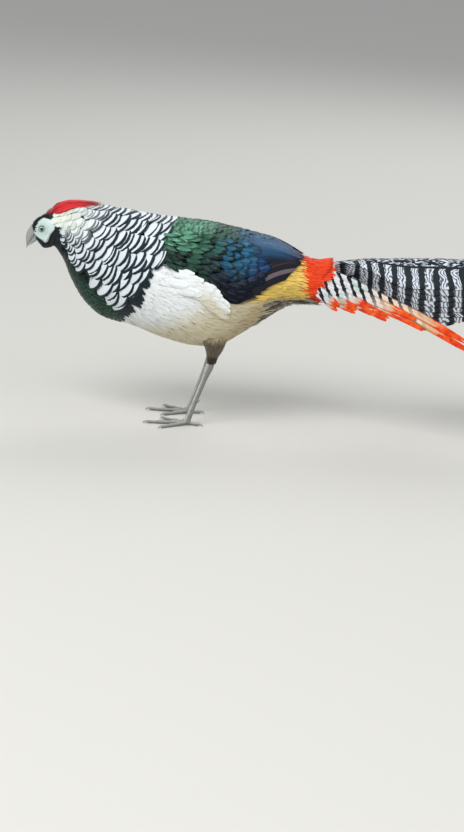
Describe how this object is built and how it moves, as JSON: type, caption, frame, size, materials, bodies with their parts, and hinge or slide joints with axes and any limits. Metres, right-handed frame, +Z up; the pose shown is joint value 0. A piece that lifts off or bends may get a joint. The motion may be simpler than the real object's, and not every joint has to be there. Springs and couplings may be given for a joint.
{
  "type": "lady amherst's pheasant model",
  "caption": "Life-size still model of a male Lady Amherst's pheasant, standing with its head low, cape spread and long barred tail held straight back.",
  "frame": {"origin": "on the floor under the middle of the whole bird's box, tail included", "axes": "-X from the tail towards the bill, -Y to the bird's left side, +Z up"},
  "size_m": [1.1566, 0.1586, 0.287],
  "materials": {
    "face_skin": "bare skin",
    "horn": "horn",
    "eyes": "wet",
    "cape_feathers": "feathers",
    "belly_feathers": "feathers",
    "wing_feathers": "iridescent feathers",
    "rump_feathers": "feathers",
    "tail_feathers": "barred feathers",
    "thigh_feathers": "feathers",
    "leg_scales": "scales"
  },
  "bodies": {
    "root": {"head": "face_skin", "bill_upper": "horn", "bill_lower": "horn", "eye_left": "eyes", "eye_right": "eyes", "neck": "cape_feathers", "torso": "belly_feathers", "wing_left": "wing_feathers", "wing_right": "wing_feathers", "rump": "rump_feathers", "tail": "tail_feathers", "thigh_left": "thigh_feathers", "thigh_right": "thigh_feathers", "shank_left": "leg_scales", "shank_right": "leg_scales", "foot_left": "leg_scales", "foot_right": "leg_scales"}
  },
  "joints": []
}
